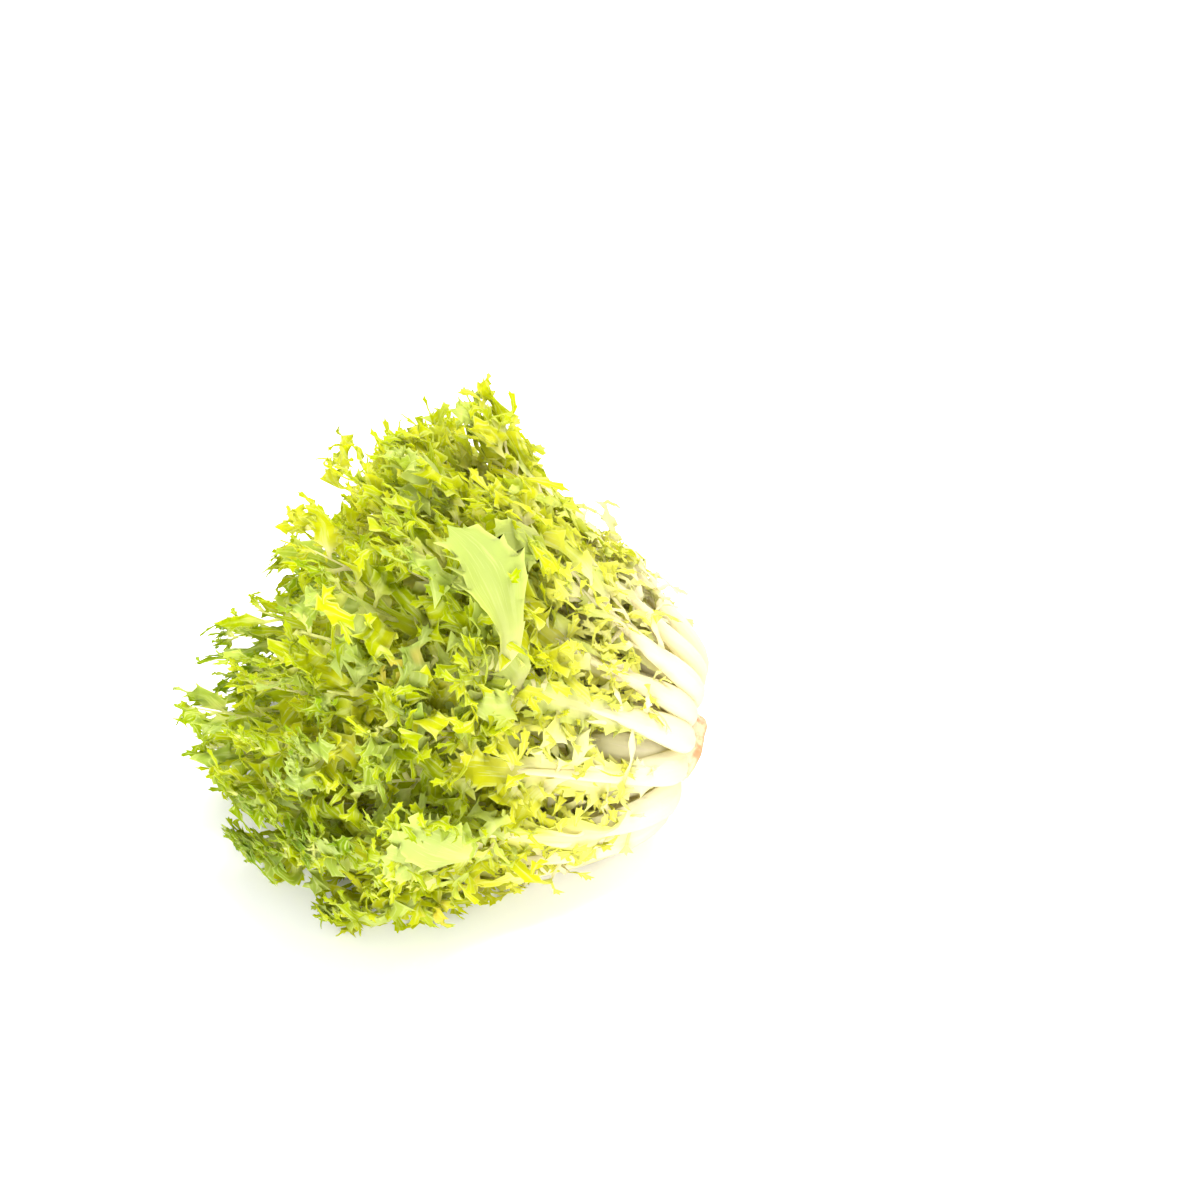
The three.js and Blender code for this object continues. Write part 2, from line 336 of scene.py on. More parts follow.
def rounded(s, start, reach, least):
    """A share of the width that rounds off a ribbon's end: 1 up to `start`, then a quarter of an ellipse,
    the root of 1 - ((s - start) / reach)^2, cut off at the root of `least`."""
    return np.sqrt(np.clip(1 - (np.clip(s - start, 0, 1) / reach) ** 2, least, 1))


def measures(half, s, length, columns):
    """For each point of a ribbon: nearness to the edge, share along, millimetres across and along."""
    along = s[..., None] + 0 * half[..., None]
    return np.abs(columns), along, half[..., None] * columns, along * length[:, None, None]


def dice(leaf, first, step, i):
    """Two makers of repeatable draws, one draw for each ribbon number in i.

    chance(salt, low, high) gives them as a row, and column(salt, low, high) as a column, which goes with
    the shares along each ribbon."""

    def chance(salt, low=0.0, high=1.0):
        return mix(low, high, draw(leaf["k"], first + step * i + salt))

    return chance, lambda *salt_and_range: chance(*salt_and_range)[:, None]


HANDS_APART = np.array([0.0, 0.37])  # sets a ribbon's two edges apart, so that they aren't mirror images

print("a ribbon with six teeth has", toothed(6)[0].size, "rows")

# %% [markdown]
# A real leaf has a thickness, and renders and exports both want closed shapes. Each surface therefore
# becomes a lens: two copies, pushed apart along the surface's own normal, that meet in the same points
# all round the edge. Solidify would do this too, but adds a rim of faces to every edge, while a lens's
# margin is as thin as a leaf's.

# %% Close a surface into a thin lens
def lens_faces(rows, columns):
    """Faces of the upper and under sheets, which share the points on the edge."""
    top = np.arange(rows * columns).reshape(rows, columns)
    under = top.copy()
    inside = (rows - 2) * (columns - 2)
    under[1:-1, 1:-1] = rows * columns + np.arange(inside).reshape(rows - 2, columns - 2)

    def quads(grid, order):
        corners = [grid[:-1, :-1], grid[1:, :-1], grid[1:, 1:], grid[:-1, 1:]]
        return np.stack([corners[i] for i in order], axis=-1).reshape(-1, 4)

    return np.concatenate([quads(top, (0, 1, 2, 3)), quads(under, (0, 3, 2, 1))])


def lenses(leaf, flat, thick, paint):
    """Closed lenses of several ribbons as one list of points, faces and painting values.

    Each surface is pushed half its thickness each way along its normal, except at its edges. The fifth
    painting value is 0 on the upper sheet, 1 on the under sheet and a half along the edges."""
    points = place(leaf, flat)
    normal = np.cross(np.gradient(points, axis=1), np.gradient(points, axis=2))
    normal /= np.linalg.norm(normal, axis=-1, keepdims=True) + 1e-9
    half = 0.5 * thick[..., None] * normal
    half[:, [0, -1]] = 0
    half[:, :, [0, -1]] = 0
    number, rows, columns = flat.shape[:3]

    def sheets(above, below):
        both = [sheet.reshape(number, -1, sheet.shape[-1]) for sheet in (above, below[:, 1:-1, 1:-1])]
        return np.concatenate(both, axis=1)

    corners = sheets(points + half, points - half)
    on_edge = np.full((rows, columns), 0.5)
    on_edge[1:-1, 1:-1] = 0
    upper_paint, under_paint = paint.copy(), paint.copy()
    upper_paint[..., 4], under_paint[..., 4] = on_edge, 1
    painted = sheets(upper_paint, under_paint)
    faces = lens_faces(rows, columns)[None] + (np.arange(number) * corners.shape[1])[:, None, None]
    return corners.reshape(-1, 3), faces.reshape(-1, 4), painted.reshape(-1, paint.shape[-1])


print(len(lens_faces(19, 5)), "faces on a shoot,", len(lens_faces(7, 3)), "on a twig")

# %% [markdown]
# ## Shoots and twigs
#
# The shoots are the ribbons that leave the rib on both sides: narrow and white at the foot, then broad
# and curled. From their edges grow twigs, small ribbons of only a few dozen faces, because there are
# thousands. They make the frizz.

# %% Shape the shoots of a leaf
SHOOT_COLUMNS = np.array([-1, -0.55, 0, 0.55, 1.0])
SHOOT_TEETH = 6
GROWN_AT = 220  # millimetres from the crown to where a leaf is fully green


def rib_line(leaf, x):
    """How far the rib strays sideways: a slow sine that widens with the distance from the crown."""
    return 0.05 * (CROWN_RADIUS + x) * leaf["sector"] * np.sin(x / 26 + 6 * draw(leaf["k"], 4))


def rib_half(leaf, x):
    """Half the rib's width: the foot's, a swell in the stalk, then a taper."""
    t = x / leaf["length"]
    swell = 1.6 * np.sin(np.pi * np.clip(t / 0.36, 0, 1))
    return leaf["foot"] + swell - (leaf["foot"] - 0.9) * np.clip(t, 0, 1) ** 0.8


def painting(leaf, flat, edge, along, stalk, across_mm, along_mm, chance):
    """What the finishes read at each point.

    Distance from the crown in units of GROWN_AT, scaled by the leaf's share of green, which holds the
    painted light that pales the top and the lower front; nearness to the edge; share along the ribbon; a
    draw that is the same all over one ribbon; room for the sheet; 1 where it is fleshy stalk and 0 where it
    is leaf; and millimetres across and along it."""
    grown = (CROWN_RADIUS + flat[..., 0]) / GROWN_AT * leaf["ripe"]
    values = [grown, edge, along, chance, 0, stalk, across_mm, along_mm]
    return np.stack([np.broadcast_to(v, flat.shape[:-1]) for v in values], axis=-1)


def shoots(leaf):
    """The side ribbons of a leaf: flat points, thickness, painting values, and paths with their frames."""
    n = 2 * leaf["shoots"]
    i = np.arange(n)
    chance, column = dice(leaf, 100, 13, i)
    s, tooth = toothed(SHOOT_TEETH)
    hand = np.where(i % 2 == 0, 1.0, -1.0)
    share = mix(0.24, 0.94, ((i + chance(0)) / n) ** 0.82)
    x = share * leaf["length"]
    lean = np.radians(chance(1, 18, 78) - 14 * (share < 0.4))
    length = 0.8 * leaf["sector"] * (CROWN_RADIUS + x) / np.sin(lean) * chance(2, 0.9, 1.4)
    length = np.maximum(length, chance(20, 26, 44) * smooth(share, 1.0, 0.5))
    length = np.minimum(length, (leaf["length"] * 0.95 - x) * 1.1 / np.cos(lean) + 5)
    length = np.clip(length, 9, 50)

    heading = lean[:, None] + column(3, -1.3, 1.0) * s
    heading = hand[:, None] * heading + 0.4 * np.sin(2 * np.pi * (s * 1.2 + column(4))) * s
    waves = s * column(6, 0.6, 1.2) + column(7)
    pitch = column(5, 0.3, 1.0) * np.sin(2 * np.pi * waves)
    pitch = pitch * smooth(s, 0, 0.4) + column(8, -1.6, 2.4) * smooth(s, 0.5, 1.0)
    pitch = pitch + column(23, -0.25, 0.75) * (1 - smooth(s, 0.1, 0.5))
    twist = column(9, -1.5, 1.5) * s + 0.3 * np.sin(8 * s + 6 * column(10))
    aside = rib_line(leaf, x) + hand * chance(21, -0.2, 0.6) * rib_half(leaf, x)
    start = np.stack([x, aside, 0.3 + 0 * x], axis=1)
    frame_along = carry(start, np.eye(3), heading, pitch, twist, length, s)

    frizz = smooth(share, 0.3, 0.62)
    late = smooth(share, 0.55, 0.85)
    broad = mix(0.05 + 0.05 * late, 0.17 + 0.09 * late, chance(11) ** 1.4) * length
    broad = np.clip(broad, 1.3, 6.2) * (0.65 + 0.35 * leaf["green"])
    broad = (broad * mix(0.26, 1, frizz))[:, None]
    stalk = column(12, 0.9, 1.6)
    widen = (chance(22, 0.25, 0.5) + 0.38 * (1 - smooth(share, 0.3, 0.46)))[:, None]
    half = stalk + (broad - stalk) * smooth(s, widen - 0.25, widen)
    half = half * rounded(s, 0.8, 0.205, 0.004)
    size = draw(leaf["k"] + i[:, None, None], 200 + np.arange(s.size)[None, :, None] + HANDS_APART)
    spikes = tooth * mix(0.4, 1.0, size) * (mix(0.2, 1, frizz) * chance(24, 2.0, 4.4))[:, None, None]
    spikes *= smooth(s, widen - 0.3, widen)[..., None]
    phase = column(15)[..., None] + HANDS_APART
    ruffle = np.sin(2 * np.pi * (s[..., None] * column(16, 2.0, 3.8)[..., None] + phase))
    ruffle = ruffle * column(17, 0.5, 1.1)[..., None]
    flat = ribbon(frame_along, half, spikes, ruffle, chance(18, -0.3, 0.4), SHOOT_COLUMNS)

    edge, along, *in_mm = measures(half, s, length, SHOOT_COLUMNS)
    thick = (0.45 + 1.3 * (1 - along) ** 2.5) * (1 - 0.75 * edge**2)
    fleshy = 1 - smooth(s, widen - 0.25, widen + 0.1)[..., None]
    paint = painting(leaf, flat, edge, along, fleshy, *in_mm, column(19)[..., None])
    return flat, thick, paint, frame_along


print("shoots of the first leaf, their rows and columns:", *shoots(leaves[0])[0].shape[:3])

# %% [markdown]
# A twig starts on a larger ribbon's own surface, a little inside its edge, and sets off to that side. It
# takes the ribbon's directions there as its base, so it follows however the ribbon has turned, which
# scattered copies would not. The blade of each leaf carries twigs too.

# %% Shape the twigs of a leaf
TWIG_COLUMNS = np.array([-1, 0, 1.0])
TWIG_ROWS = np.array([[0, 0.26, 0.46, 0.56, 0.78, 0.86, 1.0]])  # shares along a twig, with two teeth
TWIG_TOOTH = np.array([[0, 0.1, 1.0, 0.15, 0.8, 0.1, 0]])[..., None]
TWIGS_A_SHOOT = (3, 4, 17)  # how many, and the rows of the shoot between which they start
TWIGS_A_BLADE = (30, 7, 34)


def twigs(leaf, surface, paint, frame_along, number, first, last):
    """Small ribbons that leave larger ones: flat points, thickness and painting values.

    Each larger ribbon carries `number` of them, spread from its row `first` to its row `last`."""
    shoot = np.repeat(np.arange(len(surface)), number)
    i = np.arange(shoot.size)
    chance, column = dice(leaf, 900, 17, i)
    turn = i % number
    hand = np.where((turn + shoot) % 2 == 0, 1.0, -1.0)
    row = np.round(mix(first, last, (turn + chance(0)) / number)).astype(int)
    start = surface[shoot, row, np.where(hand > 0, surface.shape[2] - 2, 1)]
    forward, cross, normal = (v[shoot, row] for v in frame_along[1:])
    base = np.stack([forward, hand[:, None] * cross, hand[:, None] * normal], axis=1)

    s = TWIG_ROWS
    outward = smooth(start[:, 0] / leaf["length"], 0.4, 0.85) * leaf["green"]
    length = chance(1, 0.7, 1.3) * mix(10.5, 18.0, outward)
    heading = column(2, 0.3, 1.1) + column(3, -1.8, 1.6) * s
    pitch = column(4, -0.7, 0.9) + column(5, -2.0, 2.2) * s
    twist = column(6, -0.9, 0.9) * s
    frame_along = carry(start, base, heading, pitch, twist, length, s)
    half = mix(0.75, 1.0, np.sin(np.pi * s)) * (chance(7, 0.7, 1.3) * mix(0.6, 1.15, outward))[:, None]
    half = half * rounded(s, 0.6, 0.41, 0.01)
    size = mix(0.6, 1, draw(i[:, None, None], np.array([3.0, 4.0])))
    spikes = TWIG_TOOTH * column(8, 1.2, 3.2)[..., None] * size
    waves = 1.6 * s[..., None] + column(9)[..., None] + np.array([0, 0.4])
    ruffle = np.sin(2 * np.pi * waves) * 0.5
    flat = ribbon(frame_along, half, spikes, ruffle, chance(10, -0.4, 0.4), TWIG_COLUMNS)

    edge, along, *in_mm = measures(half, s, length, TWIG_COLUMNS)
    thick = (0.5 + 0.5 * (1 - along)) * (1 - 0.75 * edge**2)
    draws = paint[shoot, 0, 0, 3][:, None, None] * 0.6 + 0.4 * column(11)[..., None]
    return flat, thick, painting(leaf, flat, edge, along, 0, *in_mm, draws)


print(TWIGS_A_SHOOT[0], "twigs a shoot and", TWIGS_A_BLADE[0], "a blade")

# %% [markdown]
# The blade is the leaf along its own rib: narrow pale wings down the stalk, then a broader ruffled strip
# that curls a little at the tip. We could widen the rib's own tube instead, but a tube has no edge to
# carry teeth, so the blade is one more ribbon, and its path is the rib's line.

# %% Shape the blade
BLADE_COLUMNS = np.array([-1, -0.6, -0.15, 0.15, 0.6, 1.0])
BLADE_TEETH = 18
BLADE_STARTS, BLADE_ENDS = 0.13, 0.94  # shares of the leaf's length
WING = 7.5  # half the width of the pale wings, in millimetres


def blade(leaf):
    """The long ribbon along the rib: flat points, thickness, painting values, and its path and frame."""
    k, long = leaf["k"], leaf["length"]
    s, tooth = toothed(BLADE_TEETH)
    start, end = BLADE_STARTS * long, BLADE_ENDS * long
    x = start + s * (end - start)
    slope = np.gradient(rib_line(leaf, x), axis=1) / np.gradient(x, axis=1)
    curl = mix(-1.6, 1.8, draw(k, 61)) * smooth(s, 0.7, 1)
    pitch = curl + 0.22 * np.sin(2 * np.pi * (1.6 * s + draw(k, 62)))
    twist = mix(-0.9, 0.9, draw(k, 63)) * smooth(s, 0.4, 1)
    first = np.array([[start, rib_line(leaf, start), 0.0]])
    length = np.array([end - start])
    frame_along = carry(first, np.eye(3), np.arctan(slope), pitch, twist, length, s)
    broad = mix(4.0, 9.0, draw(k, 64)) * mix(0.6, 1, leaf["green"])
    wing = mix(rib_half(leaf, x), WING, smooth(s, 0.1, 0.3)) * smooth(s, 0, 0.06)
    half = mix(wing, broad, smooth(s, 0.42, 0.66)) * rounded(s, 0.86, 0.143, 0.002)
    half = half * (1 + 0.22 * np.sin(2 * np.pi * (2.3 * s + draw(k, 65))))
    size = draw(k, 300 + np.arange(s.size)[None, :, None] + HANDS_APART)
    spikes = tooth * mix(1.8, 5.0, size) * smooth(s, 0.1, 0.3)[..., None]
    phase = draw(k, 69) + HANDS_APART
    ruffle = np.sin(2 * np.pi * (s[..., None] * mix(5, 7, draw(k, 68)) + phase))
    ruffle = ruffle * mix(0.4, 0.8, draw(k, 67)) * smooth(s, 0.08, 0.25)[..., None]
    cup = np.array([mix(-0.25, 0.3, draw(k, 70))])
    flat = ribbon(frame_along, half, spikes, ruffle, cup, BLADE_COLUMNS)

    edge, along, *in_mm = measures(half, s, length, BLADE_COLUMNS)
    thick = (0.55 + 0.5 * (1 - along)) * (1 - 0.7 * edge**2)
    fleshy = (1 - smooth(along, 0.25, 0.85)) * (1 - edge * smooth(along, 0.08, 0.26)) * 0.95
    paint = painting(leaf, flat, edge, along, fleshy, *in_mm, draw(k, 71))
    return flat, thick, paint, frame_along


print("blade grid", blade(leaves[0])[0].shape[1:3])

# %% [markdown]
# The outer leaves also carry a few broad, pale lobes that lie over the frizz, underside out. Their veins
# fan out from a narrow foot to a ragged end. Two are far larger than the rest, so their sizes are given
# one by one. A bent plane would do for a lobe, but a ribbon has the same teeth and ruffle as all round it.

# %% Shape the broad lobes
LOBE_COLUMNS = np.array([-1, -0.75, -0.45, -0.15, 0.15, 0.45, 0.75, 1.0])
LOBE_TEETH = 8
LOBE_FOOT = 1.4  # half the width at its foot
LOBE_PAINT = 0.84  # the lobes' draw for the finishes, the palest
GREAT_LOBES = {  # share along the rib, length, half width, heading from the rib and climb out of the leaf
    "leaf_outer_02": (0.8, 76.0, 22.0, 1.05, 0.62),
    "leaf_outer_01": (0.64, 78.0, 14.0, 0.3, 1.2),
}


def lobes(leaf):
    """Flat points, thickness and painting values of the broad lobes.

    Half the width grows by a smooth step of s to the power 0.8, then ends squarely in teeth. A slow sine
    of s and a trough across make the lobe wave. It climbs out of the leaf, and its end curls."""
    i = np.arange(leaf["lobes"])
    chance, column = dice(leaf, 400, 11, i)
    s, tooth = toothed(LOBE_TEETH)
    hand = np.where((i + leaf["k"]) % 2 == 0, 1.0, -1.0)
    x = leaf["length"] * mix(0.46, 0.82, (i + chance(0)) / leaf["lobes"])
    length, lean, broad = chance(1, 30, 46), hand * chance(2, 0.15, 0.7), chance(7, 8, 12.5)
    climb = 0.7 + 0 * x
    if leaf["name"] in GREAT_LOBES:
        share, length[0], broad[0], lean[0], climb[0] = GREAT_LOBES[leaf["name"]]
        x[0] = share * leaf["length"]
    start = np.stack([x, rib_line(leaf, x), 1.5 + 0 * x], axis=1)
    heading = lean[:, None] + hand[:, None] * column(3, -0.6, 0.6) * s
    pitch = climb[:, None] * (1 - smooth(s, 0.1, 0.45))
    pitch = pitch - column(4, 0.0, 0.35) * smooth(s, 0.2, 0.6)
    pitch = pitch + column(5, -1.4, 1.8) * smooth(s, 0.7, 1.0)
    twist = column(6, -0.7, 0.7) * s
    frame_along = carry(start, np.eye(3), heading, pitch, twist, length, s)
    half = LOBE_FOOT + (broad[:, None] - LOBE_FOOT) * smooth(s, 0.0, 0.75) ** 0.8
    half = half * rounded(s, 0.9, 0.12, 0.05)
    size = draw(leaf["k"] + i[:, None, None], 500 + np.arange(s.size)[None, :, None] + HANDS_APART)
    spikes = tooth * mix(0.8, 4.4, size) * (smooth(s, 0.1, 0.5) * broad[:, None] / 11)[..., None]
    phase = column(8)[..., None] + np.array([0.0, 0.3])
    ruffle = np.sin(2 * np.pi * (s[..., None] * 1.8 + phase)) * column(9, 0.2, 0.4)[..., None]
    flat = ribbon(frame_along, half, spikes, ruffle, chance(10, -0.3, 0.35), LOBE_COLUMNS)
    ragged = draw(i[:, None] + 30 * leaf["k"], 600 + np.arange(LOBE_COLUMNS.size)[None, :])
    flat[:, -1] += frame_along[1][:, -1:] * mix(-0.12, 0.4, ragged)[..., None] * broad[:, None, None]

    edge, along, _, along_mm = measures(half, s, length, LOBE_COLUMNS)
    thick = (0.5 + 0.8 * (1 - along) ** 2) * (1 - 0.7 * edge**2)
    fleshy = mix(1.0, 0.1, smooth(along, 0.1, 0.5))
    fanned = broad[:, None, None] * LOBE_COLUMNS  # so that the veins fan out with the lobe
    return flat, thick, painting(leaf, flat, edge, along, fleshy, fanned, along_mm, LOBE_PAINT)


print(sum(leaf["lobes"] for leaf in leaves), "broad lobes")

# %% [markdown]
# A stalk's section is a crescent, hollow towards the heart of the head and round outside. A curve object
# with a bevel has only one section shape, so a ring of points is carried along the rib instead.

# %% Shape the rib
RIB_ROWS = 30
RIB_SIDES = 14


def tube_faces(rows, sides):
    """Faces round a tube, closed at both ends with strips from side to side of the last rings."""
    grid = np.arange(rows * sides).reshape(rows, sides)
    turned = np.roll(grid, -1, axis=1)
    walls = np.stack([grid[:-1], grid[1:], turned[1:], turned[:-1]], axis=-1).reshape(-1, 4)
    j = np.arange(sides // 2 - 1)
    cap = np.stack([j, j + 1, sides - 2 - j, sides - 1 - j], axis=-1)
    return np.concatenate([walls, grid[0][cap], grid[-1][cap[:, ::-1]]])


def rib(leaf):
    """Points in the head, faces and painting values of the tube that is stalk and rib.

    Round the ring at angle a: y is the half width times cos a, and z the height times half of sin a plus
    half of sin squared a, which makes a crescent. The tube is low where it leaves the crown, so that the
    cut stem shows behind it, then thick, and it thins to the tip."""
    x = mix(-4, 0.93 * leaf["length"], np.linspace(0, 1, RIB_ROWS) ** 1.15)[:, None]
    a = np.linspace(0, 2 * np.pi, RIB_SIDES, endpoint=False)[None, :]
    share = np.clip(x / leaf["length"], 0, 1)
    half = rib_half(leaf, x) * mix(1.3, 0.75, smooth(share, 0.1, 0.55)) * mix(0.8, 1, smooth(x, -2, 14))
    half *= np.clip((1 - share) / 0.12, 0.15, 1) ** 0.6
    height = mix(mix(2.0, 8.0, smooth(x, 4, 30)), 0.9, smooth(share, 0.2, 0.7))
    y = rib_line(leaf, x) + half * np.cos(a)
    z = height * (0.5 * np.sin(a) + 0.5 * np.sin(a) ** 2)
    flat = np.stack([x + 0 * a, y, z], axis=-1)
    points = place(leaf, flat)
    paint = painting(leaf, flat, 0, 0, 1, half * np.cos(a), x, draw(leaf["k"], 72))
    return points.reshape(-1, 3), tube_faces(RIB_ROWS, RIB_SIDES), paint.reshape(-1, paint.shape[-1])


print(len(tube_faces(RIB_ROWS, RIB_SIDES)), "faces on one rib")

# %% [markdown]
# ## Meshes
#
# Blender takes whole arrays with foreach_set, which is hundreds of times quicker than adding points one
# by one. The painting values go in as attributes, and the way across and along each ribbon as a UV map in
# metres, so that a finish follows the ribbon wherever it curls. Everything is shaded smooth, but a lens's
# two sheets meet in sharp edges, because the shading would roll over the thin margin.

# %% Put arrays into a mesh
def make_mesh(name, points, faces, paint):
    """A mesh object from points in millimetres, four-cornered faces and painting values."""
    mesh = bpy.data.meshes.new(name)
    mesh.vertices.add(len(points))
    mesh.vertices.foreach_set("co", (points / 1000).astype(np.float32).ravel())
    mesh.loops.add(faces.size)
    mesh.loops.foreach_set("vertex_index", faces.astype(np.int32).ravel())
    mesh.polygons.add(len(faces))
    mesh.polygons.foreach_set("loop_start", np.arange(0, faces.size, 4, dtype=np.int32))
    mesh.polygons.foreach_set("use_smooth", np.ones(len(faces), dtype=bool))
    for attribute, values in (("growth", paint[:, :3]), ("skin", paint[:, 3:6])):
        made = mesh.attributes.new(attribute, "FLOAT_VECTOR", "POINT")
        made.data.foreach_set("vector", values.astype(np.float32).ravel())
    flow = mesh.uv_layers.new(name="flow")
    flow.data.foreach_set("uv", (paint[faces.ravel(), 6:8] / 1000).astype(np.float32).ravel())
    mesh.update(calc_edges=True)
    mesh.validate()
    ends = np.empty(2 * len(mesh.edges), dtype=np.int32)
    mesh.edges.foreach_get("vertices", ends)
    on_rim = (paint[ends.reshape(-1, 2), 4] == 0.5).all(axis=1)
    mesh.attributes.new("sharp_edge", "BOOLEAN", "EDGE").data.foreach_set("value", on_rim)
    return in_scene(name, mesh)


def gather(parts):
    """Joins lists of (points, faces, paint) into one, with the faces' numbers moved along."""
    points, faces, paint = zip(*parts)
    used = np.cumsum([0] + [len(some) for some in points])
    faces = [numbers + first for numbers, first in zip(faces, used)]
    return np.concatenate(points), np.concatenate(faces), np.concatenate(paint)


def dress(leaf):
    """All the surfaces of one leaf."""
    side, side_thick, side_paint, side_frames = shoots(leaf)
    middle, middle_thick, middle_paint, middle_frame = blade(leaf)
    parts = [
        rib(leaf),
        lenses(leaf, middle, middle_thick, middle_paint),
        lenses(leaf, side, side_thick, side_paint),
        lenses(leaf, *twigs(leaf, side, side_paint, side_frames, *TWIGS_A_SHOOT)),
        lenses(leaf, *twigs(leaf, middle, middle_paint, middle_frame, *TWIGS_A_BLADE)),
    ]
    if leaf["lobes"]:
        parts.append(lenses(leaf, *lobes(leaf)))
    return parts


dressed = {}
for leaf in leaves:
    same_piece = [one for one in leaves + between_leaves if one["name"] == leaf["name"]]
    parts = [part for one in same_piece for part in dress(one)]
    dressed[leaf["name"]] = make_mesh("frilled_" + leaf["name"], *gather(parts))
faces_made = sum(len(piece.data.polygons) for piece in dressed.values())
print(len(dressed), "leaves made,", 2 * faces_made, "triangles")

# %% [markdown]
# ## The cut stem
#
# The stem was cut straight across. Its face is slightly dished, and leaves that were trimmed away have
# left it not quite round. A Screw modifier could turn a profile into the main form, but here sines of the
# turn roughen the same grid of points at once.

# %% Shape the cut stem
def cut_stem():
    """Points, faces and painting values of the stem.

    A profile (distance along the axis, radius) is turned round the axis. Sines of the turn, which fade
    towards the poles, scale the radius. The first three painting values are the share of the cut's
    radius, 1 on the cut face, and the distance along the axis in the same unit."""
    face = [(0.9, 0.02), (0.8, 3.0), (0.4, 6.0), (0.7, 8.6), (0.1, 10.4), (0.2, 12.6)]
    rim = [(0, 14.1), (0.5, 15.0), (1.6, 15.4), (3.2, 15.3)]
    dome = [(-6.6, 16.4), (-4.0, 17.3), (0.0, 17.9), (6.0, 16.9), (12.0, 13.4), (16.5, 7.2), (17.9, 0.02)]
    profile = np.array([(depth - STUMP_LENGTH, radius) for depth, radius in face + rim] + dome)
    turns = np.linspace(0, 2 * np.pi, 72, endpoint=False)[None, :]
    along, radius = profile[:, :1], profile[:, 1:]
    rough = 0.03 * np.sin(3 * turns + 1) + 0.022 * np.sin(7 * turns + along / 3)
    rough += 0.018 * np.sin(13 * turns - along / 2)
    rough *= smooth(radius, 6, 15)
    r = radius * (1 + rough)
    ring = np.cos(turns)[..., None] * across + np.sin(turns)[..., None] * upper
    dent = 0.25 * np.sin(5 * turns + 2) * smooth(radius, 3, 12) * (along < -STUMP_LENGTH + 0.6)
    points = r[..., None] * ring + (along + dent)[..., None] * axis
    points += np.array(CROWN_AT) * 1000
    on_cut = (along < -STUMP_LENGTH + 0.95) * smooth(radius, 15.2, 14.9)
    shares = [radius / STUMP_RADIUS, on_cut, along / STUMP_RADIUS]
    values = shares + [0, 0, 0, turns * STUMP_RADIUS, along]
    paint = np.stack([np.broadcast_to(v, r.shape) for v in values], axis=-1)
    return points.reshape(-1, 3), tube_faces(*r.shape), paint.reshape(-1, 8)


stem = make_mesh("cut_stem", *cut_stem())
print("stem", [round(v * 1000, 1) for v in stem.dimensions], "mm")

# %% [markdown]
# ## Arithmetic for finishes
#
# A shader is arithmetic on values that change over the surface. Math nodes wired by hand hide the formula,
# so a small class lets Python operators add them, and one method adds any other node.

# %% A socket that can be added and multiplied
class Value:
    """One output of a shader node; + - and * add Math nodes."""

    def __init__(self, finish, socket):
        self.finish = finish
        self.socket = socket

    def math(self, operation, *terms):
        return self.finish.node("ShaderNodeMath", {"operation": operation}, dict(enumerate(terms)))

    def __add__(self, other):
        return self.math("ADD", self, other)

    def __sub__(self, other):
        return self.math("SUBTRACT", self, other)

    def __rsub__(self, other):
        return self.math("SUBTRACT", other, self)

    def __mul__(self, other):
        return self.math("MULTIPLY", self, other)

    __radd__ = __add__
    __rmul__ = __mul__


class Finish:
    """A material in the making."""

    def __init__(self, name):
        self.material = bpy.data.materials.new(name)
        self.material.use_nodes = True
        self.tree = self.material.node_tree
        self.tree.nodes.clear()

    def node(self, kind, settings=None, inputs=None, output=0):
        """Adds a node: its settings are set first, then the values or links of its sockets.

        It gives one of the node's outputs, or the node itself where it has none."""
        made = self.tree.nodes.new(kind)
        for key, value in (settings or {}).items():
            if key == "stops":
                while len(made.color_ramp.elements) < len(value):
                    made.color_ramp.elements.new(1.0)
                for element, (position, colour) in zip(made.color_ramp.elements, value):
                    element.position, element.color = position, (*colour, 1)
            else:
                setattr(made, key, value)
        for key, value in (inputs or {}).items():
            if isinstance(value, Value):
                self.tree.links.new(value.socket, made.inputs[key])
            else:
                made.inputs[key].default_value = value
        return Value(self, made.outputs[output]) if made.outputs else made

    def between(self, value, low, high):
        """0 below low, 1 above high and a smooth step between."""
        ends = {"Value": value, "From Min": low, "From Max": high}
        return self.node("ShaderNodeMapRange", {"interpolation_type": "SMOOTHSTEP"}, ends)

    def blend(self, share, first, second):
        """A mix of two colours."""
        colours = [c if isinstance(c, Value) else (*c, 1) for c in (first, second)]
        inputs = {0: share, 6: colours[0], 7: colours[1]}
        return self.node("ShaderNodeMix", {"data_type": "RGBA"}, inputs, output=2)

    def speckle(self, where, scale, detail=3.0):
        """Soft noise round 0.5."""
        return self.node("ShaderNodeTexNoise", {}, {"Vector": where, "Scale": scale, "Detail": detail})

    def painted(self, name):
        """The three numbers of one of the mesh's own attributes."""
        return self.parts(self.node("ShaderNodeAttribute", {"attribute_name": name}, output=1))

    def parts(self, vector):
        """The three numbers of a vector."""
        outputs = self.node("ShaderNodeSeparateXYZ", {}, {0: vector}).socket.node.outputs
        return [Value(self, number) for number in outputs]

    def object_place(self):
        """Where a point is on the piece, in metres."""
        return self.node("ShaderNodeTexCoord", output=3)

    def skin(self, colour, roughness, relief, strength, depth, more=None):
        """The main shader, with a bump `depth` metres deep from the relief, and further inputs."""
        bump = self.node("ShaderNodeBump", {}, {"Height": relief, "Strength": strength, "Distance": depth})
        inputs = {"Base Color": colour, "Roughness": roughness, "Normal": bump, **(more or {})}
        return self.node("ShaderNodeBsdfPrincipled", {}, inputs)

    def done(self, surface):
        """Joins the finished shader to the material's output."""
        self.node("ShaderNodeOutputMaterial", {}, {"Surface": surface})
        return self.material


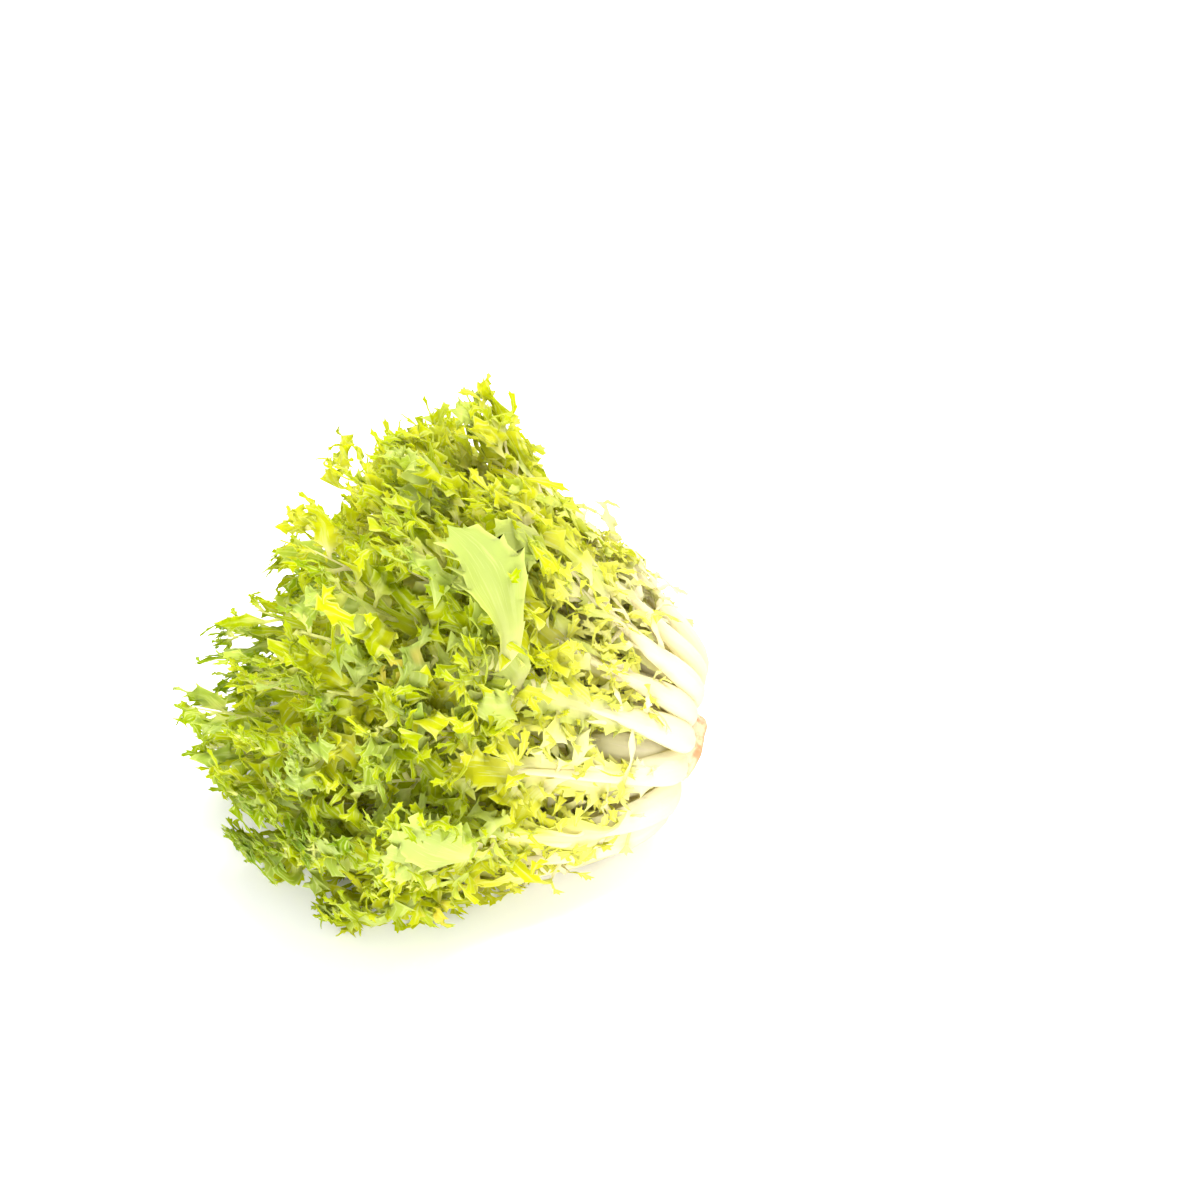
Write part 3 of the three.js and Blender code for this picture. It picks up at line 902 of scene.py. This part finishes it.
def srgb(red, green, blue):
    """A colour given as 0 to 255 on a screen, as the linear light that a shader works in."""
    c = np.array([red, green, blue]) / 255
    return np.where(c <= 0.04045, c / 12.92, ((c + 0.055) / 1.055) ** 2.4)


print("white stalk", srgb(250, 243, 212).round(2))

# %% [markdown]
# ## The leaf's finish
#
# A leaf is white near the crown, where light never reached it, then cream, lemon and yellow-green, and
# fully green only at its outer end. Outer rows go greener than the heart, and no two ribbons are quite
# the same green. The midrib and the veins are paler than the leaf between them, the very edge of each
# carries a painted highlight, and some ribbons are pale all over, most of all underneath. A few spots
# have turned yellow-brown.
#
# Light passes through a leaf, so about half of the shading is translucent. That keeps the shaded side of
# a real leaf bright and strongly coloured; more lamps would only wash it out.

# %% Make the leaf finishes
FIBRES = 3400  # the fine ridges along a stalk, as radians in each metre across it


def leaf_finish(name, green):
    """One row's finish: green is how far the colour goes towards the outer leaf's."""
    f = Finish(name)
    # Blanching and painted light: the stalks of the inner rows, which lie in shade between the outer ones,
    # are made whiter than the outer rows' lit stalks.
    blanched_and_painted_light = mix(srgb(250, 243, 212), srgb(241, 232, 203), green**2)
    far, edge, along = f.painted("growth")
    chance, under, stalk = f.painted("skin")
    flow = f.node("ShaderNodeUVMap", {"uv_map": "flow"})
    across_stalk = f.parts(flow)[0]
    place_on = f.object_place()

    patches = f.speckle(place_on, 20.0)
    varied = (patches - 0.5) * 0.5 + (chance - 0.5) * (0.06 + 0.36 * far)
    grown = far * (0.86 + 0.14 * green) + varied
    stops = [
        (0.0, blanched_and_painted_light),
        (0.17, blanched_and_painted_light),
        (0.27, srgb(226, 218, 100)),
        (0.42, srgb(206, 202, 26)),
        (0.58, srgb(174, 184, 0)),
        (0.76, srgb(102, 136, 0)),
        (1.0, srgb(42, 88, 0)),
    ]
    colour = f.node("ShaderNodeValToRGB", {"stops": stops}, {0: grown})

    stretched = f.node("ShaderNodeMapping", {}, {"Vector": flow, "Scale": (700, 40, 1)})
    veins = f.between(f.speckle(stretched, 1.0, 2.0), 0.53, 0.62) * (1 - f.between(edge, 0.6, 1.0))
    colour = f.blend(veins * 0.6, colour, srgb(232, 236, 156))
    pale_ribbon = f.between(chance, 0.68, LOBE_PAINT) * (0.3 + 0.35 * under)
    colour = f.blend(pale_ribbon, colour, srgb(210, 220, 136))
    midrib = (1 - f.between(edge, 0.0, 0.3)) * (1 - f.between(along, 0.3, 0.95))
    colour = f.blend(midrib * 0.6, colour, srgb(236, 240, 165))
    near = 1 - f.between(far, 0.28, 0.72)
    pale = f.blend(near, srgb(208, 216, 112), blanched_and_painted_light)
    colour = f.blend(stalk * (0.8 + 0.2 * veins) * 0.95, colour, pale)
    # Painted highlight: the very edge of each ribbon is made paler, as a rim that catches the light.
    colour = f.blend(f.between(edge, 0.8, 1.0) * 0.5, colour, srgb(230, 234, 150))
    spots = f.between(f.speckle(place_on, 30.0, 2.0), 0.66, 0.76)
    colour = f.blend(spots * f.between(far, 0.3, 0.5) * 0.55, colour, srgb(248, 210, 110))

    fibres = f.node("ShaderNodeMath", {"operation": "SINE"}, {0: across_stalk * FIBRES})
    wrinkle = f.speckle(place_on, 420.0, 2.0)
    relief = fibres * stalk * 0.15 + veins * 0.4 + wrinkle * 0.8
    skin = f.skin(colour, 0.34 + wrinkle * 0.2, relief, 0.4, 0.0006, {"Specular IOR Level": 0.06})
    green_glow = f.node("ShaderNodeBsdfTranslucent", {}, {"Color": (0.72, 0.78, 0.0, 1)})
    white_glow = f.node("ShaderNodeBsdfTranslucent", {}, {"Color": (0.98, 0.93, 0.68, 1)})
    glow = f.node("ShaderNodeMixShader", {}, {0: stalk, 1: green_glow, 2: white_glow})
    through = 0.4 + 0.14 * f.between(far, 0.15, 0.4)
    return f.done(f.node("ShaderNodeMixShader", {}, {0: through, 1: skin, 2: glow}))


finishes = {name: leaf_finish(name + "_leaf", row["green"]) for name, row in ROWS.items()}
print(len(finishes), "leaf finishes")

# %% [markdown]
# ## The stem's finish
#
# The cut face is cream, with a darker ring where the bundles of veins run, and its rim has browned in the
# air. The skin round the side is pale, with brown scars. An image would show one stem only, while a mix of
# colours by the painted distance from the middle can be changed at will. Noise moves the browned rim in
# and out.

# %% Make the stem's finish
def stem_finish():
    """Cream inside the cut, a vein ring, a browned rim, and pale skin with brown scars."""
    f = Finish("cut_stem")
    out_share, on_cut, along = f.painted("growth")
    place_on = f.object_place()
    blotch = f.speckle(place_on, 160.0)
    fine = f.speckle(place_on, 900.0)
    face = f.blend(f.between(out_share, 0.1, 0.75), srgb(222, 190, 154), srgb(212, 150, 112))
    ring = f.between(out_share, 0.5, 0.62) * (1 - f.between(out_share, 0.66, 0.78))
    face = f.blend(ring * 0.55, face, srgb(200, 124, 82))
    rust = f.between(out_share + (blotch - 0.5) * 0.5, 0.8, 0.96)
    face = f.blend(rust, face, srgb(196, 128, 82))
    skin = f.blend(f.between(blotch, 0.42, 0.66), srgb(224, 188, 148), srgb(208, 146, 104))
    scar = f.between(blotch - along * 0.35, 0.62, 0.86)
    skin = f.blend(scar * 0.8, skin, srgb(188, 122, 76))
    colour = f.blend(on_cut, skin, face)
    return f.done(f.skin(colour, 0.42 + fine * 0.2, blotch * 0.6 + fine * 0.5, 0.6, 0.0012))


stem.data.materials.append(stem_finish())
print("stem finish made")

# %% [markdown]
# ## Hand the pieces to the frame
#
# Each dressed leaf stands for one solid of the imported model, so it hides that solid, takes its row's
# finish and rides on the head's only body.

# %% Ride, replace and finish
for leaf in leaves:
    piece = dressed[leaf["name"]]
    piece.data.materials.append(finishes[leaf["row"]])
    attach(piece, "root")
    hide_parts(leaf["name"])
    leaf["row"] + "_leaf"
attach(stem, "root")
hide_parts("crown")
print(len(dressed) + 1, "pieces ride on the head")

# %% [markdown]
# ## Floor and light
#
# The head lies on a sheet that is close to pure white, under a bright white sky, so that shadows are
# faint. Three square lamps give it shape: a key high above, a broad fill low in front, and a rim lamp
# behind, which shines through the thin leaves. A sky picture could light it too, but would tint the
# leaves. The Standard view keeps the colours bright and clean.

# %% Set the stage
SHEET = 6.0  # half the sheet's side, in metres
WHITE = (0.93, 0.93, 0.93, 1)
SKY = 0.88  # brightness


def white_sheet():
    """A large flat floor just under the head."""
    mesh = bpy.data.meshes.new("sheet")
    corners = [(-SHEET, -SHEET, 0), (SHEET, -SHEET, 0), (SHEET, SHEET, 0), (-SHEET, SHEET, 0)]
    mesh.from_pydata(corners, [], [(0, 1, 2, 3)])
    floor = in_scene("sheet", mesh)
    floor.location.z = -0.0002
    f = Finish("sheet")
    paper = f.node("ShaderNodeBsdfPrincipled", {}, {"Base Color": WHITE, "Roughness": 0.8})
    mesh.materials.append(f.done(paper))
    floor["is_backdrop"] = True


def lamp(name, where, size, power):
    """A square lamp that faces a point in the head, 50 mm above the sheet."""
    data = bpy.data.lights.new(name, "AREA")
    data.shape, data.size, data.energy = "SQUARE", size, power
    made = in_scene(name, data)
    made.location = where
    made.rotation_euler = (Vector(where) - Vector((0, 0, 0.05))).to_track_quat("Z", "Y").to_euler()


white_sheet()
lamp("key", (0.35, 0.3, 1.55), 0.6, 28)
lamp("fill", (-0.2, -1.6, 0.4), 1.0, 50)
lamp("rim", (0.3, 1.3, 1.0), 0.8, 26)
sky = bpy.data.worlds.new("sky")
sky.use_nodes = True
background = sky.node_tree.nodes["Background"].inputs
background["Color"].default_value = (1, 1, 1, 1)
background["Strength"].default_value = SKY
bpy.context.scene.world = sky
bpy.context.scene.view_settings.view_transform = "Standard"
print("three lamps, and a sky of brightness", SKY)

# %% [markdown]
# ## Both boxes
#
# The dressed head has to fill the same box as the solids, give or take a few millimetres of frill. The
# viewport can't show millimetres, so both boxes are printed.

# %% Print the boxes
dressed_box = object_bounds()
for name, box in (("solids", solid_box), ("dressed", dressed_box)):
    print(name, [[round(v * 1000, 1) for v in corner] for corner in box])
